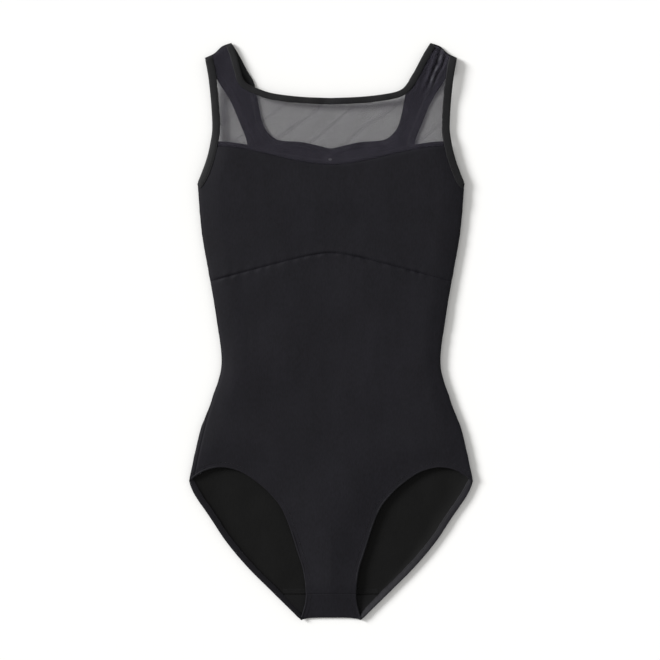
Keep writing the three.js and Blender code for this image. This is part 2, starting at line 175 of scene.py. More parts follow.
def outAt(line, y):
    # how far out a rising line lies at these heights
    return np.interp(y, line[:, 1], line[:, 0])


def ease(t):
    t = np.clip(t, 0, 1)
    return t * t * (3 - 2 * t)


def halfWidth(y):
    return outAt(silhouette, y)


def waves(x, y, size, seed):
    # seven plane waves near one length, with seeded directions and starts, added up to a height of about 1
    rng = np.random.default_rng(seed)
    total = np.zeros_like(x)
    for _ in range(7):
        angle = rng.uniform(0, math.pi)
        length = size * rng.uniform(0.7, 1.5)
        total += np.sin((x * math.cos(angle) + y * math.sin(angle)) * 2 * math.pi / length
                        + rng.uniform(0, 2 * math.pi))
    return total / 3.2


def distanceTo(line, x, y):
    # the distance from each point to the nearest of the line's own points on either side of the centre
    flat = np.stack([np.abs(x).ravel(), y.ravel()], axis=1).astype(np.float32)
    out = np.empty(len(flat), np.float32)
    for start in range(0, len(flat), 4000):
        part = flat[start:start + 4000, None] - line[None].astype(np.float32)
        out[start:start + 4000] = np.sqrt((part ** 2).sum(axis=2).min(axis=1))
    return out.reshape(x.shape)


def roll(x, y):
    share = np.abs(x) / halfWidth(y)
    return np.cos(math.pi / 2 * np.clip((share - stand["flatShare"]) / (1 - stand["flatShare"]), 0, 1))


def backBase(x, y):
    # flat on the floor, curling up at the sides, a little higher under the straps
    return (stand["edgeLift"] * (1 - roll(x, y))
            + stand["strapLift"] * ease((y - underarm[1] + stand["strapRampStart"]) / stand["strapRamp"]))


def frontBase(x, y):
    ends = ease((top - y) / stand["shoulderRamp"]) * ease((y - bottom) / stand["crotchRamp"])
    return backBase(x, y) + cloth["gap"] + stand["crown"] * roll(x, y) * ends


def joined(x, y, free):
    # where they are sewn together, both cloths close on the height halfway between them, round a nose
    d = np.clip(distanceTo(joins, x, y) / stand["nose"], 0, 1)
    nose = np.sqrt(1 - (1 - d) ** 2)
    middle = backBase(x, y) + cloth["knit"] + (cloth["gap"] - cloth["knit"]) / 2
    return middle + (free - middle) * nose


sweetheartHalf = float(outAt(frontArm, sweetheartY[1]))
underbustHalf = float(outAt(sideEdge, underbustY[1]))
seamLine = {"heartRise": 1.8, "bustRounding": 0.0256, "bustStart": 0.16, "bustSpan": 0.8527}


def sweetheartShape(share):
    # a quarter of a sine, raised to a power so that it leaves the centre level
    return np.sin(math.pi / 2 * np.clip(share, 0, 1)) ** seamLine["heartRise"]


def underbustShape(share):
    # a hyperbola: rounded at the centre and straight towards the sides
    return (np.sqrt(share ** 2 + seamLine["bustRounding"]) - seamLine["bustStart"]) / seamLine["bustSpan"]


def sweetheartAt(x):
    return sweetheartY[0] + (sweetheartY[1] - sweetheartY[0]) * sweetheartShape(np.abs(x) / sweetheartHalf)


def underbustAt(x):
    return underbustY[0] + (underbustY[1] - underbustY[0]) * underbustShape(np.abs(x) / underbustHalf)


def calm(x, y):
    # 0 on a seam across the front and 1 away from it, so that cloths meet at one height
    up, down = (y - sweetheartAt(x)) / 0.010, (y - underbustAt(x)) / 0.006
    return (1 - np.exp(-up ** 2)) * (1 - np.exp(-down ** 2))


dips = {"bust": 1.6 * mm, "pucker": 0.22 * mm, "puckerLength": 0.0145, "heart": 0.8 * mm, "side": 0.55 * mm}


def seamDips(x, y):
    # a groove along each seam, with small puckers beside it that fade out over a few millimetres
    bust, heart = y - underbustAt(x), y - sweetheartAt(x)
    pucker = np.sin(np.abs(x) * 2 * math.pi / dips["puckerLength"] + 2.5 * waves(x, y, 0.05, 44))
    drawn = 0.7 + 0.3 * waves(x, y, 0.03, 45)
    width = 0.0016 * (1 + 0.5 * pucker * (bust < 0))
    groove = dips["bust"] * drawn * np.exp(-(bust / width) ** 2)
    groove = groove + dips["pucker"] * pucker * np.exp(-np.abs(bust) / 0.006)
    groove = groove * (0.25 + 0.75 * ease((underbustHalf - np.abs(x) - 3 * mm) / 0.014))
    return groove + dips["heart"] * np.exp(-(heart / 0.0014) ** 2)


def sideGroove(x, y):
    # on the wearer's right the side seam turns a little towards the front below the waist
    turned = 5.2 * mm * ease((waist[1] - 0.03 - y) / 0.06)
    d = halfWidth(y) + x - turned
    return dips["side"] * np.exp(-(d / 0.0009) ** 2) * (x < 0) * ease((waist[1] - 0.04 - y) / 0.03)


frontFolds = {"sag": 2.8 * mm, "sagReach": 0.028, "soft": 0.4 * mm, "fine": 0.05 * mm, "drawn": 0.05 * mm}


def frontUnder(x, y, sewn=True):
    # underside of the front cloth: the crown, a sag towards each leg, long soft folds and fine unevenness
    legs = np.exp(-(distanceTo(frontLeg, x, y) / frontFolds["sagReach"]) ** 2)
    sag = frontFolds["sag"] * legs * ease((-0.12 - y) / 0.04) * ease((y - bottom) / 0.07) * roll(x, y)
    soft = frontFolds["soft"] * waves(x, y, 0.11, 3) + frontFolds["fine"] * waves(x, y, 0.035, 8)
    drawn = frontFolds["drawn"] * waves(x * 2.2, y * 0.35, 0.03, 12) * np.exp(-((y - waist[1]) / 0.13) ** 2)
    free = frontBase(x, y) - sag + (soft + drawn) * roll(x, y) * calm(x, y)
    return (joined(x, y, free) if sewn else free) - seamDips(x, y) - sideGroove(x, y)


backFolds = {"soft": 0.3 * mm, "fine": 0.1 * mm, "hemLift": 0.8 * mm, "hemReach": 8 * mm}


def backInside(x, y, sewn=True):
    # upper face of the back cloth, lying nearly flat and a little higher on its turned hems
    soft = backFolds["soft"] * np.abs(waves(x, y, 0.09, 21)) + backFolds["fine"] * waves(x, y, 0.028, 23)
    hems = backFolds["hemLift"] * np.exp(-(distanceTo(backLeg, x, y) / backFolds["hemReach"]) ** 2)
    free = backBase(x, y) + cloth["knit"] + np.maximum(soft, 0) + hems
    return joined(x, y, free) if sewn else free


yokeFolds = {"hang": 2.6 * mm, "armHang": 2.2 * mm, "slanting": 0.9 * mm, "ruck": 1.6 * mm,
             "narrow": 0.45 * mm, "fine": 0.2 * mm, "seam": 0.7 * mm}


def yokeUnder(x, y, sewn=True):
    # the sheer cloth hangs a little between its bindings and carries soft slanting folds
    rise = ease((y - sweetheartAt(x)) / 0.02)
    hang = rise * ease((top - 0.02 - y) / 0.03)
    beside = np.exp(-(distanceTo(frontArm, x, y) / 0.014) ** 2) * rise * ease((top - 0.045 - y) / 0.03)
    level = frontBase(x, y) - yokeFolds["hang"] * roll(x, y) * hang - yokeFolds["armHang"] * beside
    slant = x * 0.62 - y * 0.78
    # each set of folds is a wave, bent a little by slow waves, that fades out round the middle of its place
    folds = yokeFolds["slanting"] * np.sin(slant * 2 * math.pi / 0.021 + 2.2 * waves(x, y, 0.08, 5)) \
        * np.exp(-((x - 0.015) / 0.055) ** 2 - ((y - 0.252) / 0.035) ** 2)
    across = x * 0.93 - y * 0.37
    ruck = yokeFolds["ruck"] * np.sin(across * 2 * math.pi / 0.0085 + 1.2 * waves(x, y, 0.03, 6)) \
        * np.exp(-((x - 0.1265 - (y - 0.318) * 0.36) / 0.008) ** 2 - ((y - 0.318) / 0.026) ** 2)
    narrow = yokeFolds["narrow"] * np.sin(x * 2 * math.pi / 0.011 + y * 60 + 1.5 * waves(x, y, 0.05, 7)) \
        * np.exp(-((np.abs(x) - 0.129) / 0.010) ** 2 - ((y - 0.252) / 0.026) ** 2)
    free = level + (folds + ruck + narrow + yokeFolds["fine"] * waves(x, y, 0.04, 31)) * calm(x, y)
    heart = y - sweetheartAt(x)
    return (joined(x, y, free) if sewn else free) - yokeFolds["seam"] * np.exp(-(heart / 0.0014) ** 2)


class Amount:
    # a number that varies over a surface; an expression on it adds the Math nodes that work it out
    def __init__(self, look, socket):
        self.look, self.socket = look, socket

    def math(self, operation, *values):
        made = self.look.node("Math", {"operation": operation}, dict(enumerate(values)))
        return Amount(self.look, made.outputs[0])

    def __add__(self, other):
        return self.math("ADD", self, other)

    def __sub__(self, other):
        return self.math("SUBTRACT", self, other)

    def __rsub__(self, other):
        return self.math("SUBTRACT", other, self)

    def __mul__(self, other):
        return self.math("MULTIPLY", self, other)

    def __abs__(self):
        return self.math("ABSOLUTE", self)

    def wave(self, length):
        return self.math("SINE", self * (2 * math.pi / length))

    def kept(self, least, most):
        return self.math("MINIMUM", self.math("MAXIMUM", self, least), most)


class Look:
    # one material; node() adds any node from its type, its settings and what goes into its sockets
    def __init__(self, name, pattern=None):
        self.material = bpy.data.materials.new(name)
        self.material.use_nodes = True
        self.tree = self.material.node_tree
        self.tree.nodes.clear()
        if pattern:
            self.place = self.node("UVMap", {"uv_map": pattern}).outputs["UV"]
        else:
            self.place = self.node("TexCoord").outputs["Object"]
        parts = self.node("SeparateXYZ", {}, {0: self.place})
        self.x, self.y, self.z = (Amount(self, parts.outputs[k]) for k in range(3))

    def node(self, kind, settings=None, sockets=None):
        made = self.tree.nodes.new("ShaderNode" + kind)
        for key, value in (settings or {}).items():
            setattr(made, key, value)
        for key, value in (sockets or {}).items():
            source = getattr(value, "socket", value)
            if isinstance(source, bpy.types.NodeSocket):
                self.tree.links.new(source, made.inputs[key])
            else:
                made.inputs[key].default_value = source
        return made

    def noise(self, size, detail=2.0):
        # cloudy noise whose lumps have these sizes along the pattern's three directions
        scaled = self.node("Mapping", {}, {"Vector": self.place, "Scale": [1 / v for v in size]})
        made = self.node("TexNoise", {}, {"Vector": scaled.outputs[0], "Scale": 1.0, "Detail": detail})
        return Amount(self, made.outputs[0])

    def mixed(self, factor, first, second):
        made = self.node("Mix", {"data_type": "RGBA"}, {0: factor, 6: (*first, 1), 7: (*second, 1)})
        return made.outputs[2]

    def cloth(self, colour, roughness, relief, depth, sheen, sheenRoughness=0.4, tint=(1, 1, 1), alpha=None):
        bump = self.node("Bump", {}, {"Height": relief, "Distance": depth, "Strength": 0.8})
        values = {"Base Color": colour, "Roughness": roughness, "Normal": bump.outputs[0],
                  "Sheen Weight": sheen, "Sheen Roughness": sheenRoughness, "Sheen Tint": (*tint, 1),
                  "Specular IOR Level": 0.12}
        if alpha is not None:
            values["Alpha"] = alpha
        shader = self.node("BsdfPrincipled", {}, values)
        self.node("OutputMaterial", {}, {"Surface": shader.outputs[0]})
        return self.material


def knitCloth(name, dark, light, tint, sheen):
    # smooth stretch knit: fine wales along the body, shorter courses across them, and a mottle of the yarn
    look = Look(name)
    wales, courses = look.x.wave(0.9 * mm), look.y.wave(0.62 * mm)
    yarn = look.noise((1.5 * mm, 5 * mm, 2 * mm), 3)
    cloud = look.noise((0.03, 0.05, 0.03))
    factor = (yarn * 1.5 - 0.25 + wales * 0.12 + (cloud - 0.5) * 0.9).kept(0, 1)
    relief = wales * 0.5 + courses * 0.22 + yarn * 1.2
    return look.cloth(look.mixed(factor, dark, light), (yarn * 0.2 + 0.5).kept(0, 1), relief, 0.10 * mm,
                      sheen, 0.35, tint)


def sheerNet(name):
    # sheer stretch net: three crossed sets of yarns leave round holes, drawn closer here and there
    look = Look(name)
    a = look.x.wave(0.8 * mm)
    b = (look.x * 0.5 + look.y * 0.866).wave(0.8 * mm)
    c = (look.x * 0.5 - look.y * 0.866).wave(0.8 * mm)
    net = (a + b + c) * 0.3333
    drawn = look.noise((0.012, 0.02, 0.012))
    slant = (look.x * 0.62 - look.y * 0.78 + look.noise((0.09, 0.09, 0.09)) * 0.02).wave(0.027)
    alpha = (net * 0.7 + 0.365 + (drawn - 0.5) * 0.10 + (slant - 0.8).kept(0, 1) * 0.3).kept(0.08, 1)
    base = look.mixed(drawn, (0.028, 0.026, 0.037), (0.044, 0.040, 0.056))
    # where the slack strap is rucked, a broken line down the strap is painted paler: a painted highlight
    # where the rucked net catches the light
    away = abs(look.x * 0.939 - look.y * 0.3436 - 0.01003)
    ends = ((look.y - 0.291) * 160).kept(0, 1) * ((0.344 - look.y) * 160).kept(0, 1)
    ruck = (1 - away * 420).kept(0, 1) * ends * (look.y.wave(0.0125) * 0.5 + 0.6).kept(0, 1)
    # the paler colour here is the painted highlight
    colour = look.node("Mix", {"data_type": "RGBA"}, {0: ruck, 6: base, 7: (0.10, 0.10, 0.115, 1)}).outputs[2]
    return look.cloth(colour, 0.55, net, 0.12 * mm, 0.12, 0.5, (0.85, 0.85, 1), alpha)


def stripCloth(name, dark, light, ribLength, sheen, roughness=0.5):
    # a folded strip: ribs across it, each a little uneven, and a slow mottle along it
    look = Look(name, "pattern")
    ribs, fine = look.x.wave(ribLength), look.y.wave(0.7 * mm)
    yarn = look.noise((2.4 * mm, 1.1 * mm, 1), 3)
    cloud = look.noise((0.025, 0.02, 1))
    factor = (yarn * 1.3 - 0.15 + ribs * 0.1 + (cloud - 0.5) * 0.8).kept(0, 1)
    relief = ribs * 0.4 + fine * 0.3 + yarn * 1.4
    return look.cloth(look.mixed(factor, dark, light), (yarn * 0.2 + roughness - 0.1).kept(0, 1), relief,
                      0.09 * mm, sheen)


def plainWeave(name, dark, light, step, sheen, roughness):
    # crossed yarns: the product of a wave each way, with the yarn's own noise
    look = Look(name)
    weave = look.x.wave(step) * look.y.wave(step)
    yarn = look.noise((step * 2, step * 2, step * 2), 3)
    factor = (yarn * 1.2 - 0.1 + weave * 0.2).kept(0, 1)
    return look.cloth(look.mixed(factor, dark, light), (yarn * 0.2 + roughness - 0.1).kept(0, 1),
                      weave * 0.5 + yarn, 0.06 * mm, sheen)


def overlockThread(name, dark, light):
    # loops of thread that run slantwise over the edge of a seam allowance
    look = Look(name)
    loops = (look.x + look.y).wave(1.3 * mm) * 0.6 + (look.x - look.y).wave(1.3 * mm) * 0.6
    fluff = look.noise((0.7 * mm, 0.7 * mm, 0.7 * mm), 3)
    factor = (loops * 0.35 + fluff).kept(0, 1)
    return look.cloth(look.mixed(factor, dark, light), 0.6, loops + fluff, 0.14 * mm, 0.15)


slots = {
    "knit": knitCloth("knit", (0.0055, 0.0052, 0.0072), (0.0112, 0.0106, 0.0145), (0.9, 0.9, 1), 0.02),
    "lining": plainWeave("lining", (0.0035, 0.0035, 0.0040), (0.0075, 0.0075, 0.0080), 0.6 * mm, 0.01, 0.7),
    "mesh": sheerNet("mesh"),
    "binding": stripCloth("binding", (0.0090, 0.0089, 0.0098), (0.0185, 0.0184, 0.0198), 0.8 * mm, 0.04),
    "elastic": stripCloth("elastic", (0.010, 0.010, 0.010), (0.022, 0.022, 0.022), 1.1 * mm, 0.0, 0.6),
    "thread": overlockThread("thread", (0.0032, 0.0032, 0.0036), (0.0080, 0.0080, 0.0090)),
    "label": plainWeave("label", (0.012, 0.012, 0.012), (0.022, 0.022, 0.024), 0.35 * mm, 0.1, 0.4),
}
# painted shade: a darker copy of the knit, without sheen, for the faces inside the garment
knitPaintedShade = knitCloth("knit_inside_painted_shade", (0.0022, 0.0022, 0.0022), (0.0046, 0.0046, 0.0046), (1, 1, 1), 0.0)
hemCloth = stripCloth("knit_hem", (0.0065, 0.0063, 0.0082), (0.0130, 0.0125, 0.0160), 0.9 * mm, 0.03)
tackThread = plainWeave("tack_thread", (0.20, 0.20, 0.20), (0.32, 0.32, 0.32), 0.5 * mm, 0.0, 0.6)
print("materials made")


def finish(piece, slot, replaced=()):
    piece.data.materials.append(slots[slot])
    if slot == "knit":
        # the inner faces of a knit piece take the knit's painted-shade copy
        piece.data.materials.append(knitPaintedShade)
    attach(piece, "root")
    if replaced:
        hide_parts(*replaced)
    return piece


def makeMesh(name, points, faces):
    mesh = bpy.data.meshes.new(name)
    mesh.from_pydata(np.asarray(points, float).reshape(-1, 3).tolist(), [], faces.tolist())
    mesh.polygons.foreach_set("use_smooth", [True] * len(mesh.polygons))
    mesh.update()
    return placed(name, mesh)


def gridFaces(rows, columns, closedRows=False, closedColumns=False):
    r = np.arange(rows if closedRows else rows - 1)
    c = np.arange(columns if closedColumns else columns - 1)
    a, b = np.meshgrid(r, c, indexing="ij")
    n, m = (a + 1) % rows, (b + 1) % columns
    corners = [a * columns + b, a * columns + m, n * columns + m, n * columns + b]
    return np.stack(corners, axis=-1).reshape(-1, 4)


def finishCloth(piece, thickness, slot, replaced):
    wall = piece.modifiers.new("thickness", "SOLIDIFY")
    wall.thickness = thickness
    wall.offset = 1
    wall.material_offset = 1
    finish(piece, slot, replaced)


def flatArea(x, y):
    # the sum of the cells' areas in plan, each half the cross product of its diagonals
    dx, dy = x[1:, 1:] - x[:-1, :-1], y[1:, 1:] - y[:-1, :-1]
    ex, ey = x[1:, :-1] - x[:-1, 1:], y[1:, :-1] - y[:-1, 1:]
    return float(np.abs(dx * ey - dy * ex).sum() / 2)


def closeSpaced(count, share=0.7):
    # steps from 0 to 1 that are finer towards both ends
    t = np.linspace(0, 1, count)
    return (1 - share) * t + share * (1 - np.cos(math.pi * t)) / 2


def sheetBetween(edge, centre, shape):
    # each row runs from the centre line to a point of the edge: x grows evenly and y bends by the row's shape
    return edge[:, :1] * spread[None, :], centre[:, None] + (edge[:, 1:] - centre[:, None]) * shape


def rowsOf(edge, count):
    # the points of an edge at steps that are finer towards its ends, and the share of its length at each
    along = lengthAlong(edge)
    at = closeSpaced(count) * along[-1]
    return sampled(edge, along, at), at / along[-1]


def stretchOf(edge, start, end):
    # the part of a rising edge between two heights, with its ends exactly there
    inside = edge[(edge[:, 1] > start) & (edge[:, 1] < end)]
    ends = [[outAt(edge, y), y] for y in (start, end)]
    return np.concatenate([[ends[0]], inside, [ends[1]]])


def blurred(values, reach):
    # a running mean that keeps both ends where they are
    before = 2 * values[0] - values[reach:0:-1]
    after = 2 * values[-1] - values[-2:-reach - 2:-1]
    window = np.ones(2 * reach + 1) / (2 * reach + 1)
    return np.convolve(np.concatenate([before, values, after]), window, "valid")


def spanned(left, right, lower, upper, u, v):
    # Coons patch: sides blended across plus ends blended along, minus the corners blended both ways
    u, v = u[None, :, None], v[:, None, None]
    sides = (1 - u) * left[:, None] + u * right[:, None]
    ends = (1 - v) * lower[None] + v * upper[None]
    corners = ((1 - u) * (1 - v) * lower[0] + u * (1 - v) * lower[-1]
               + (1 - u) * v * upper[0] + u * v * upper[-1])
    return sides + ends - corners


def surface(name, pieces, thickness, slot, replaced):
    # pieces are (x, y, z, flipped) grids that share their edges; they are welded and given their thickness
    points, faces, area, start = [], [], 0, 0
    for x, y, z, flipped in pieces:
        points.append(np.stack([x, y, z], axis=-1).reshape(-1, 3))
        quads = gridFaces(*x.shape) + start
        faces.append(quads[:, ::-1] if flipped else quads)
        area += flatArea(x, y)
        start += x.size
    piece = makeMesh(name, np.concatenate(points), np.concatenate(faces))
    weld(piece)
    finishCloth(piece, thickness, slot, replaced)


def weld(piece):
    # vertices that two grids share become one
    work = bmesh.new()
    work.from_mesh(piece.data)
    bmesh.ops.remove_doubles(work, verts=work.verts, dist=1e-6)
    work.to_mesh(piece.data)
    work.free()


turning = {"swing": 9 * mm, "inwards": 6 * mm, "trim": 2.6 * mm, "reach": 0.6, "steps": 9, "softening": 4}


def openingLoop(front, back, heightFront, heightBack, seams, count):
    # along the front edge with the cloth on its left, over the turn, back along the back edge and over
    # the other turn; near each turn the strip's width swings round to lie along the seam that ends there
    wF, wB = leftOf(front), -leftOf(back)
    for line, w in ((front, wF), (back, wB)):
        along = lengthAlong(line)
        far = along[-1] - along
        ends = (far, along) if line is front else (along, far)
        for near, seam in zip(ends, seams):
            share = np.exp(-(near / turning["swing"]) ** 2)[:, None]
            w += share * (np.asarray(seam) / np.linalg.norm(seam) - w)
    corners = (front[-1], front[0])

    def lying(line, w, height):
        # the height at the edge, and the width tilted to follow the cloth a little way inwards
        z, inner = height(*line.T), line + w * turning["inwards"]
        return z, np.concatenate([w, (height(*inner.T) - z)[:, None] / turning["inwards"]], axis=1)

    zF, wF = lying(front, wF, heightFront)
    zB, wB = lying(back, wB, heightBack)

    def trimmed(line, z, w):
        # the edge stops short of each corner, which leaves room for the turn
        along = lengthAlong(line)
        kept = (along > turning["trim"]) & (along < along[-1] - turning["trim"])
        return line[kept], z[kept], w[kept]

    front, zF, wF = trimmed(front, zF, wF)
    back, zB, wB = trimmed(back, zB, wB)
    angle = np.linspace(0, math.pi, turning["steps"])[1:-1]

    def turn(corner, start, end):
        # half an ellipse from the end of one edge round to the start of the other, just inside the corner
        (a, zStart, wStart), (b, zEnd, wEnd) = start, end
        share = ((1 - np.cos(angle)) / 2)[:, None]
        reach = (corner - (a + b) / 2) * turning["reach"]
        return (a + (b - a) * share + reach * np.sin(angle)[:, None], zStart + (zEnd - zStart) * share[:, 0],
                wStart + (wEnd - wStart) * share)

    there = turn(corners[0], (front[-1], zF[-1], wF[-1]), (back[0], zB[0], wB[0]))
    home = turn(corners[1], (back[-1], zB[-1], wB[-1]), (front[0], zF[0], wF[0]))
    xy, z, w = (np.concatenate(parts) for parts in zip((front, zF, wF), there, (back, zB, wB), home))
    path = np.concatenate([xy, z[:, None], w], axis=1)
    for _ in range(turning["softening"]):
        path = (np.roll(path, 1, 0) + 2 * path + np.roll(path, -1, 0)) / 4
    closed = np.concatenate([path, path[:1]])
    along = lengthAlong(closed[:, :3])
    path = sampled(closed, along, np.linspace(0, along[-1], count, endpoint=False))
    return path[:, :3], path[:, 3:], float(along[-1])


def frames(points, w):
    # along the loop, across it onto the cloth, and square to both
    tangent = np.roll(points, -1, 0) - np.roll(points, 1, 0)
    tangent /= np.linalg.norm(tangent, axis=1)[:, None]
    w = w / np.linalg.norm(w, axis=1)[:, None]
    n = np.cross(tangent, w)
    n /= np.linalg.norm(n, axis=1)[:, None]
    return tangent, w, n


def mirroredLoop(loop):
    # the loop on the other side, run the other way round so that its outside stays outside
    points, w, length = loop
    turn = np.array([-1, 1, 1])
    return (points * turn)[::-1], (w * turn)[::-1], length


def carried(loop, profile, seed):
    # a profile of (inwards, outwards) pairs carried along a loop, swelling and narrowing slightly along it
    points, w = loop[:2]
    _, across, n = frames(points, w)
    rng = np.random.default_rng(seed)
    at = np.linspace(0, 2 * math.pi, len(points), endpoint=False)
    uneven = sum(np.sin(at * k + rng.uniform(0, 6.28)) for k in (7, 13, 23, 37, 61))[:, None] / 5
    a, b = profile[:, 0] * (1 + 0.05 * uneven), profile[:, 1] * (1 + 0.16 * uneven)
    return points[:, None] + across[:, None] * a[..., None] + n[:, None] * b[..., None]


def strip(name, loop, profile, slot, replaced, thickness, seed, flat, rests=()):
    p = carried(loop, profile, seed)
    rows, columns = p.shape[:2]
    piece = makeMesh(name, p, gridFaces(rows, columns, closedRows=True))
    # pattern coordinates in metres: along the strip, and across it from the edge of the outer side
    across = lengthAlong(profile)
    row, column = np.meshgrid(np.arange(rows), np.arange(columns - 1), indexing="ij")
    corner = [(row, column), (row, column + 1), (row + 1, column + 1), (row + 1, column)]
    uv = np.stack([np.stack([r / rows * loop[2], across[c]], axis=-1) for r, c in corner], axis=2)
    piece.data.uv_layers.new(name="pattern").data.foreach_set("uv", uv.ravel())
    finishCloth(piece, thickness, slot, replaced)
    flat * loop[2]
    return piece


def foldedProfile(width, half):
    # a strip turned over an edge: in along the outer side, round the edge, and back in along the inner side
    out = np.array([[width, 0.55 * half], [width - 0.9 * mm, 0.72 * half], [width - 1.5 * mm, 0.66 * half],
                    [width - 2.2 * mm, 0.95 * half], [0.55 * width, 1.05 * half], [0.3 * width, half]])
    angle = np.linspace(90, 270, 9)[1:-1] * math.pi / 180
    nose = np.stack([half * 0.9 + half * 0.9 * np.cos(angle), half * np.sin(angle)], axis=1)
    inner = np.array([[0.3 * width, -half], [0.6 * width, -half], [width, -0.6 * half]])
    return np.concatenate([out, nose, inner])


seamThread = {"pitch": 2.9 * mm, "length": 2.1 * mm, "thick": 0.42 * mm}


def stitches(name, loop, inset, lift, slant=0.0, thread=seamThread):
    # one thread stitch every pitch along the loop: a rounded bar lying on the cloth
    points, w, total = loop
    at = np.linspace(0, len(points), int(total / thread["pitch"]), endpoint=False)

    def picked(v):
        return sampled(np.concatenate([v, v[:1]]), np.arange(len(v) + 1), at)

    tangent, across, n = (picked(v) for v in frames(points, w))
    centre = picked(points) + across * inset + n * lift
    rings = np.array([-0.5, -0.42, -0.15, 0.15, 0.42, 0.5])
    fat = np.array([0.15, 0.75, 1, 1, 0.75, 0.15])
    sides = 6
    angle = np.arange(sides) * math.pi / 3
    lead = tangent + across * slant
    wide = fat[:, None] * np.cos(angle)[None] * thread["thick"] / 2
    tall = fat[:, None] * np.sin(angle)[None] * thread["thick"] / 2
    bar = (centre[:, None, None] + lead[:, None, None] * (rings * thread["length"])[None, :, None, None]
           + across[:, None, None] * wide[None, ..., None] + n[:, None, None] * tall[None, ..., None])
    one = gridFaces(len(rings), sides, closedColumns=True)
    firsts = (np.arange(len(centre)) * len(rings) * sides)[:, None, None]
    faces = (one[None] + firsts).reshape(-1, 4)
    # two four-sided faces close each end
    caps = np.array([[0, 1, 2, 3], [0, 3, 4, 5], [33, 32, 31, 30], [35, 34, 33, 30]])
    caps = (caps[None] + firsts).reshape(-1, 4)
    faces = np.concatenate([faces[:, ::-1], caps])
    return finish(makeMesh(name, bar, faces), "thread")


def insetEdge(edge, amount):
    # the edge moved onto the cloth by an amount at each point; the cloth is on the left of a rising edge
    return edge + leftOf(edge) * amount[:, None]


# how far the cloth's own edge lies inside the turned hem
legTuck = 0.95 * mm


def bodyRows(leg, start, seamEnd, seamMiddle, cut):
    # rows up the leg edge and on up the side seam; a row's middle is at the turn where its ends reach the hip
    first = np.argmax(leg[:, 1] > start)
    below, above = leg[first - 1], leg[first]
    corner = below + (above - below) * (start - below[1]) / (above[1] - below[1])
    legPart = np.concatenate([[corner], leg[first:]])
    along = lengthAlong(legPart)
    legPart = insetEdge(legPart, legTuck * ease((along[-1] - along) / 0.012))
    legLength = lengthAlong(legPart)[-1]
    edge, share = rowsOf(np.concatenate([legPart, stretchOf(sideEdge, hip[1] + 0.2 * mm, seamEnd)]),
                         cut["rows"])
    hipShare = legLength / (legLength + lengthAlong(stretchOf(sideEdge, hip[1], seamEnd))[-1])
    centre = blurred(np.interp(share, [0, hipShare, 1], [start, cut["turn"], seamMiddle]), 6)
    turned = ease((share - hipShare) / (1 - hipShare))[:, None]
    s = np.abs(spread)[None, :]
    return sheetBetween(edge, centre, (1 - turned) * s ** cut["bend"] + turned * underbustShape(s))


def halfPatch(inner, outer, lower, upper, cornerShare, count):
    # one half of the cloth above a seam: rows from the centre line and neck edge out to the armhole edge
    v = np.concatenate([np.linspace(0, cornerShare, count // 3)[:-1],
                        cornerShare + (1 - cornerShare) * closeSpaced(count - count // 3 + 1, 0.5)])
    half = spread[spread >= -1e-12]

    def along(line, at):
        length = lengthAlong(line)
        return sampled(line, length, at * length[-1])

    points = spanned(along(inner, v), along(outer, v), lower(half), along(upper, half), half, v)
    return points[..., 0], points[..., 1]


def twoHalves(left, right, height, flipped):
    # the +X half and the mirrored -X half, each with its own height
    x, y = left
    xr, yr = -right[0], right[1]
    return [(x, y, height(x, y), flipped), (xr, yr, height(xr, yr), not flipped)]


spread = np.sin(np.linspace(-math.pi / 2, math.pi / 2, 151))


# front body
bodyCut = {"rows": 130, "turn": -0.125, "bend": 2.2, "flat": (0.350, 0.405)}
x, y = bodyRows(frontLeg, frontCrotchY, underbustY[1], underbustY[0], bodyCut)
surface("front_body_cloth", [(x, y, frontUnder(x, y), False)], cloth["knit"], "knit", ["front_body"])

# front bodice and its lining
bodiceCut = {"rows": 84, "flat": (0.325, 0.170)}
liningCut = {"rows": 60, "inset": 3 * mm, "rise": 2 * mm, "drop": 1 * mm, "under": 0.2 * mm,
             "flat": (0.315, 0.165)}


def bodiceRows(sides, rows, middleStart, middleEnd):
    # rows that change gradually from the shape of the seam under the bust to that of the heart-shaped seam
    edge, share = rowsOf(sides, rows)
    s, t = np.abs(spread)[None], share[:, None]
    shape = (1 - t) * underbustShape(s) + t * sweetheartShape(s)
    return sheetBetween(edge, np.interp(share, [0, 1], [middleStart, middleEnd]), shape)


bodiceEdge = np.concatenate([stretchOf(sideEdge, underbustY[1], underarm[1]),
                             stretchOf(frontArm, underarm[1] + 0.1 * mm, sweetheartY[1])])
x, y = bodiceRows(bodiceEdge, bodiceCut["rows"], underbustY[0], sweetheartY[0])
surface("front_bodice_cloth", [(x, y, frontUnder(x, y), False)], cloth["knit"], "knit", ["front_bodice"])
inside = stretchOf(bodiceEdge, underbustY[1] + liningCut["inset"], sweetheartY[1] - liningCut["drop"])
x, y = bodiceRows(inside - [liningCut["inset"], 0], liningCut["rows"], underbustY[0] + liningCut["rise"],
                  sweetheartY[0] - liningCut["drop"])
surface("front_bodice_lining_cloth", [(x, y, frontUnder(x, y) - liningCut["under"] - cloth["lining"], False)],
        cloth["lining"], "lining", ["front_bodice_lining"])

# sheer yoke
yokeCut = {"rows": 96, "shoulderGap": 1.5 * mm, "flat": (0.305, 0.150)}


def centreAndNeck(start, neck, neckEdge, count):
    # up the centre line to the neck and on along the neck edge, and the share of it that is centre line
    centre = np.stack([np.zeros(count), np.linspace(start, neck[1], count)], axis=1)
    inner = np.concatenate([centre, neckEdge[1:]])
    return inner, (neck[1] - start) / lengthAlong(inner)[-1]


def heartSeam(s):
    return np.stack([s * sweetheartHalf, sweetheartAt(s * sweetheartHalf)], axis=1)


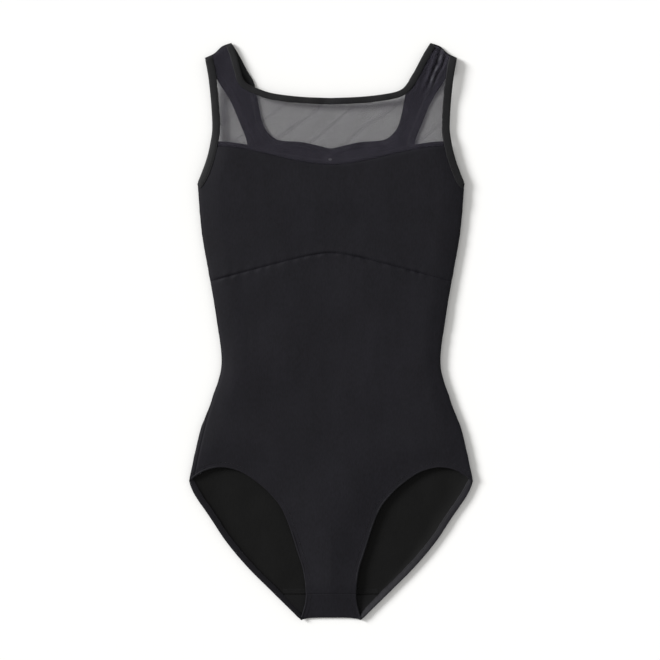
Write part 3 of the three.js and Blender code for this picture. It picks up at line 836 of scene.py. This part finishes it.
def yokeHalf(neckEdge):
    inner, corner = centreAndNeck(sweetheartY[0], frontNeck, neckEdge, 30)
    outer = stretchOf(frontArm, sweetheartY[1], shoulderOut[1])
    x, y = halfPatch(inner, outer, heartSeam, shoulderLine[::-1], corner, yokeCut["rows"])
    # the net ends just short of the shoulder seam, where the knit of the back turns over it
    return x, y - yokeCut["shoulderGap"] * np.linspace(0, 1, len(y))[:, None] ** 24


surface("front_yoke_net", twoHalves(yokeHalf(frontNeckEdge), yokeHalf(frontNeckEdgeLoose), yokeUnder, False),
        cloth["mesh"], "mesh", ["front_yoke_mesh"])

# back body: below the underarms in rows, above them in two halves
backCut = {"rows": 150, "turn": -0.14, "bend": 1.8, "upperRows": 110, "overlap": 0.5 * mm,
           "flat": (0.350, 0.665)}


def underarmLine(s):
    return np.stack([s * underarm[0], 0 * s + underarm[1]], axis=1)


x, y = bodyRows(backLeg, backCrotchY - backCut["overlap"], underarm[1], underarm[1], backCut)
inner, corner = centreAndNeck(underarm[1], backNeck, backNeckEdge, 20)
upper = halfPatch(inner, backArm, underarmLine, shoulderLine[::-1], corner, backCut["upperRows"])
surface("back_body_cloth", [(x, y, backInside(x, y), True), *twoHalves(upper, upper, backInside, True)],
        cloth["knit"], "knit", ["back_body"])
print("front and back cloths made")


# gusset and its lining: down the front, round the fold between the legs and up the back
gussetCut = {"drop": 0, "inset": legTuck, "lift": 0, "flat": (0.130, 0.070)}
crotchLiningCut = {"drop": 1 * mm, "inset": 9 * mm, "lift": 0.75 * mm, "flat": (0.112, 0.068)}
foldCurve = {"start": 5 * mm, "bow": 2.8 * mm, "bowReach": 9 * mm}
frontLegLow = frontLeg[:np.argmax(frontLeg[:, 1] > frontCrotchY + 0.02)]


def foldedSheet(name, own, thickness, slot, replaced):
    # rows step down to just above the fold, round it on a quarter of an ellipse each way, and up again
    quarter = np.linspace(0, math.pi / 2, 9)[1:]
    nose = bottom + foldCurve["start"] * (1 - np.sin(quarter))
    foldTop = bottom + foldCurve["start"]
    front = np.concatenate([np.linspace(frontCrotchY - own["drop"], foldTop, 26), nose])
    back = np.concatenate([nose[-2::-1], np.linspace(foldTop, backCrotchY - own["drop"], 24)])
    width = np.concatenate([outAt(frontLegLow, front), outAt(backLeg, back)]) - own["inset"]
    s = spread[::3]
    x = width[:, None] * s[None, :]
    y = np.concatenate([front, back])[:, None] + 0 * x
    upper, lower = frontUnder(x, y) - own["lift"], backInside(x, y) + own["lift"]
    z = np.where(np.arange(len(y))[:, None] < len(front), upper, lower)
    z[len(front) - 1] = (upper[len(front) - 1] + lower[len(front) - 1]) / 2
    # the fold bows a little way up between the two hems
    bow = foldCurve["bow"] * (1 - np.abs(s[None, :]) ** 5)
    y = y + (own["lift"] + bow) * np.exp(-((y - bottom) / foldCurve["bowReach"]) ** 2)
    points = np.stack([x, y, z], axis=-1)
    piece = makeMesh(name, points, gridFaces(*x.shape)[:, ::-1])
    finishCloth(piece, thickness, slot, replaced)
    area = float(np.linalg.norm(np.diff(points, axis=0), axis=2).mean(axis=1) @ (width[1:] + width[:-1]))


foldedSheet("gusset_cloth", gussetCut, cloth["knit"], "knit", ["gusset"])
foldedSheet("crotch_lining_cloth", crotchLiningCut, cloth["lining"], "lining", ["crotch_lining"])


# overlocked seam allowances inside the garment: how far from its seam each begins, and its width
allowance = {"heart": (-1.2 * mm, 7.2 * mm), "bust": (-1 * mm, 7 * mm), "frontCrotch": (-1 * mm, 7 * mm),
             "backCrotch": (0.6 * mm, 6 * mm), "side": (0.9 * mm, 6 * mm), "shoulder": (0.9 * mm, 5 * mm)}
overlock = {"thickness": 0.7 * mm, "ruffle": 0.12 * mm, "ruffleLength": 0.006, "under": 0.9 * mm,
            "over": 0.15 * mm, "heartShort": 1.5 * mm, "bustShort": 8 * mm, "frontHalf": 0.024,
            "backHalf": 0.057}


def seamStrip(name, line, side, kind, height):
    # a narrow strip beside a seam: points step out along its normal, and the free edge waves a little;
    # it takes the place of the overlock that has its name
    start, width = allowance[kind]
    line = evenly(line, 260)
    steps = 7
    offset = start + np.linspace(0, width, steps)
    p = line[:, None] + side * leftOf(line)[:, None] * offset[None, :, None]
    x, y = p[..., 0], p[..., 1]
    ruffle = overlock["ruffle"] * waves(x, y, overlock["ruffleLength"], 71)
    z = height(x, y) + ruffle * np.linspace(0, 1, steps)[None]
    faces = gridFaces(*x.shape)
    piece = makeMesh(name, np.stack([x, y, z], axis=-1), faces if side > 0 else faces[:, ::-1])
    finishCloth(piece, overlock["thickness"], "thread", [name.replace("allowance", "overlock")])
    length = float(lengthAlong(line)[-1])
    return piece


def mirrored(line):
    return line * [-1, 1]


def underFront(x, y):
    return frontUnder(x, y) - overlock["under"]


def underYoke(x, y):
    return yokeUnder(x, y) - overlock["under"]


def overBack(x, y):
    return backInside(x, y) + overlock["over"]


def middle(x, y):
    return (frontUnder(x, y) + backInside(x, y)) / 2 - 0.35 * mm


def seamAcross(half, shape):
    x = np.linspace(-half, half, 200)
    return np.stack([x, shape(x)], axis=1)


def seamLevel(half, height):
    return np.array([[-half, height], [0, height], [half, height]])


fullHeart = seamAcross(sweetheartHalf - overlock["heartShort"], sweetheartAt)
fullBust = seamAcross(underbustHalf - overlock["bustShort"], underbustAt)
frontSeat = seamLevel(overlock["frontHalf"], frontCrotchY)
backSeat = seamLevel(overlock["backHalf"], backCrotchY)
seamStrip("sweetheart_allowance", fullHeart, 1, "heart", underYoke)
seamStrip("underbust_allowance", fullBust, -1, "bust", underFront)
seamStrip("front_crotch_allowance", frontSeat, 1, "frontCrotch", underFront)
seat = seamStrip("back_crotch_allowance", backSeat, 1, "backCrotch", overBack)
# painted shade: the seat allowance lies inside the garment, so its thread is a darker copy of the thread
seat.data.materials[0] = overlockThread("thread_inside_painted_shade", (0.0016, 0.0016, 0.0018), (0.0045, 0.0045, 0.0050))
sideSeam = stretchOf(sideEdge, hip[1] + 6 * mm, underarm[1] - 8 * mm)
shoulderSeam = between(shoulderLine[0], shoulderLine[-1], [[0.28, 0.28], [0.5, 0.5], [0.74, 0.74]])
shoulderSeam[:, 1] = np.interp(shoulderSeam[:, 0], shoulderLine[::-1, 0], shoulderLine[::-1, 1])
for side, turn in (("left", 1), ("right", -1)):
    for kind, seam in (("side", sideSeam), ("shoulder", shoulderSeam)):
        seamStrip(f"{side}_{kind}_allowance", seam if turn > 0 else mirrored(seam), turn, kind, middle)
print("linings and seam allowances made")


# bindings and turned hems
def frontMiddle(thickness, under):
    # the height of the middle of a front cloth, as a function of place
    def height(x, y):
        return under(x, y, False) + thickness / 2
    return height


def backMiddle(x, y):
    return backInside(x, y, False) - cloth["knit"] / 2


bindings = {"neck": 7.2 * mm, "arm": 9 * mm, "half": 0.62 * mm, "cloth": 0.45 * mm, "stitchFrom": 1.9 * mm,
            "neckFlat": 0.0165, "armFlat": 0.020, "neckSteps": 700, "armSteps": 560}
bound = ["front_yoke_net", "back_body_cloth"]
stitchTop = bindings["half"] * 0.95 + bindings["cloth"]

# the front neck edge runs from the wearer's left shoulder round to the right, where the strap lies slack
neckFront = np.concatenate([frontNeckEdge[::-1], mirrored(frontNeckEdgeLoose)[1:]])
neckBack = np.concatenate([mirrored(backNeckEdge)[::-1], backNeckEdge[1:]])
neckLoop = openingLoop(neckFront, neckBack, frontMiddle(cloth["mesh"], yokeUnder), backMiddle,
                       [mirrored(shoulderOut - shoulderIn), shoulderOut - shoulderIn], bindings["neckSteps"])
strip("neck_binding_strip", neckLoop, foldedProfile(bindings["neck"], bindings["half"]), "binding",
      ["neck_binding"], bindings["cloth"], 101, bindings["neckFlat"], bound)
stitches("neck_stitches", neckLoop, bindings["neck"] - bindings["stitchFrom"], stitchTop)


def armHeight(x, y, sewn=True):
    # the armhole edge lies on the bodice below the sweetheart seam and on the sheer yoke above it
    share = ease((y - sweetheartY[1]) / 0.004 + 0.5)
    return (1 - share) * frontUnder(x, y, sewn) + share * yokeUnder(x, y, sewn)


armLoop = openingLoop(frontArm, backArm[::-1], frontMiddle(cloth["knit"], armHeight), backMiddle,
                      [shoulderIn - shoulderOut, sideEdge[-8] - sideEdge[-1]], bindings["armSteps"])
for side, loop, seed in (("left", armLoop, 103), ("right", mirroredLoop(armLoop), 105)):
    strip(side + "_armhole_binding_strip", loop, foldedProfile(bindings["arm"], bindings["half"]), "binding",
          [side + "_armhole_binding"], bindings["cloth"], seed, bindings["armFlat"], bound)
    stitches(side + "_armhole_stitches", loop, bindings["arm"] - bindings["stitchFrom"], stitchTop)

# each point of the hem's band and of the elastic's section, in millimetres: how far in it lies, and how
# far outwards of the hem's inside for the band and of the edge itself for the elastic
hem = {"cloth": 0.5 * mm, "outside": -0.1 * mm, "inside": -0.85 * mm, "flat": 0.0112, "steps": 760,
       "stitchesAt": 6.1 * mm, "outerLift": 0.42 * mm, "innerSlant": 0.55,
       "band": ((1.8, -0.04), (3.0, -0.12), (4.2, -0.12), (5.4, -0.02), (6.1, 0.14), (6.8, 0.05),
                (7.6, 0.12))}
elastic = {"cloth": 0.25 * mm, "flat": 0.0056,
           "section": ((6.6, -0.46), (4.6, -0.5), (2.6, -0.5), (1.2, -0.46))}


def hemProfile():
    # the knit turns round the leg edge from its outer face and lies back along the inside
    angle = np.linspace(90, 270, 11) * math.pi / 180
    axis, radius = (hem["inside"] + hem["outside"]) / 2, (hem["outside"] - hem["inside"]) / 2
    nose = np.stack([hem["cloth"] + radius + radius * np.cos(angle), axis + radius * np.sin(angle)], axis=1)
    start = np.array([[2.4 * mm, -0.16 * mm], [1.5 * mm, hem["outside"]]])
    band = np.array([[a * mm, hem["inside"] + lift * mm] for a, lift in hem["band"]])
    return np.concatenate([start, nose, band])


legLoop = openingLoop(frontLeg, backLeg[::-1], frontMiddle(cloth["knit"], frontUnder), backMiddle,
                      [sideEdge[8] - sideEdge[0], (-1, 0)], hem["steps"])
elasticProfile = np.array([[a * mm, b * mm] for a, b in elastic["section"]])
for side, loop, seed in (("left", legLoop, 107), ("right", mirroredLoop(legLoop), 109)):
    band = strip(side + "_leg_hem", loop, hemProfile(), "knit", [], hem["cloth"], seed, hem["flat"],
                 ["back_body_cloth"])
    band.data.materials[0] = hemCloth
    strip(side + "_leg_elastic_strip", loop, elasticProfile, "elastic", [side + "_leg_elastic"],
          elastic["cloth"], seed, elastic["flat"], [side + "_leg_hem"])
    stitches(side + "_hem_outer_stitches", loop, hem["stitchesAt"], hem["outerLift"])
    stitches(side + "_hem_inner_stitches", loop, hem["stitchesAt"], hem["inside"] - hem["cloth"] + 0.1 * mm,
             hem["innerSlant"])
print("bindings, hems and stitches made")

# care label, plain, and the small light tack at the middle of the heart-shaped seam
label = {"thickness": 0.3 * mm, "above": 0.15 * mm, "curl": 0.35 * mm, "uneven": 0.06 * mm,
         "flat": (0.0201, 0.0141)}
tackThreads = {"pitch": 0.9 * mm, "length": 1.5 * mm, "thick": 0.7 * mm}
tackPlace = {"x": -1.0 * mm, "y": 0.206, "wide": 1.4 * mm, "high": 0.8 * mm, "below": 0.15 * mm,
             "round": 0.008}
labelLow, labelHigh = low("care_label"), high("care_label")
x, y = np.meshgrid(np.linspace(labelLow[0], labelHigh[0], 34), np.linspace(labelLow[1], labelHigh[1], 24))
curl = label["curl"] * (np.abs(x) / labelHigh[0]) ** 3 + label["uneven"] * waves(x, y, 0.008, 91)
z = backInside(x, y) + label["above"] + np.maximum(curl, 0)
surface("care_label_satin", [(x, y, z, False)], label["thickness"], "label", ["care_label"])
tackHeight = float(yokeUnder(np.array([tackPlace["x"]]), np.array([tackPlace["y"]]))[0]) - tackPlace["below"]
angle = np.linspace(0, 2 * math.pi, 60, endpoint=False)
tackRing = np.stack([tackPlace["wide"] * np.sin(angle), tackPlace["high"] * np.cos(angle), 0 * angle], axis=1)
tackMiddle = np.array([[tackPlace["x"], tackPlace["y"], tackHeight]])
tackLoop = (tackMiddle + tackRing, np.tile([0.0, 0.0, 1.0], (60, 1)), tackPlace["round"])
tack = stitches("label_tack", tackLoop, 0, 0, thread=tackThreads)
tack.data.materials[0] = tackThread
print("label made")

# floor, light and backdrop
studio = {"floor": (0.93, 0.93, 0.925), "floorHalf": 6, "sky": 0.53, "skyColour": (1, 0.992, 0.972, 1),
          "sun": 4.0, "softness": 20, "from": (-0.86, 0.34, 0.46)}
floorMesh = bpy.data.meshes.new("floor")
half = studio["floorHalf"]
corners = [(-half, -half, 0), (half, -half, 0), (half, half, 0), (-half, half, 0)]
floorMesh.from_pydata(corners, [], [(0, 1, 2, 3)])
floor = placed("floor", floorMesh)
paper = Look("floor")
grain = paper.noise((0.4, 0.4, 0.4))
paper.cloth((*studio["floor"], 1), 0.9, grain, 0.01 * mm, 0.0)
floorMesh.materials.append(paper.material)
sunData = bpy.data.lights.new("sun", "SUN")
sunData.energy = studio["sun"]
sunData.angle = math.radians(studio["softness"])
sun = placed("sun", sunData)
sun.rotation_euler = mathutils.Vector(studio["from"]).to_track_quat("Z", "Y").to_euler()
world = bpy.data.worlds.new("studio")
world.use_nodes = True
backdrop = world.node_tree.nodes["Background"]
backdrop.inputs["Color"].default_value = studio["skyColour"]
backdrop.inputs["Strength"].default_value = studio["sky"]
bpy.context.scene.world = world
bpy.context.scene.view_settings.view_transform = "Standard"
print("stage made")
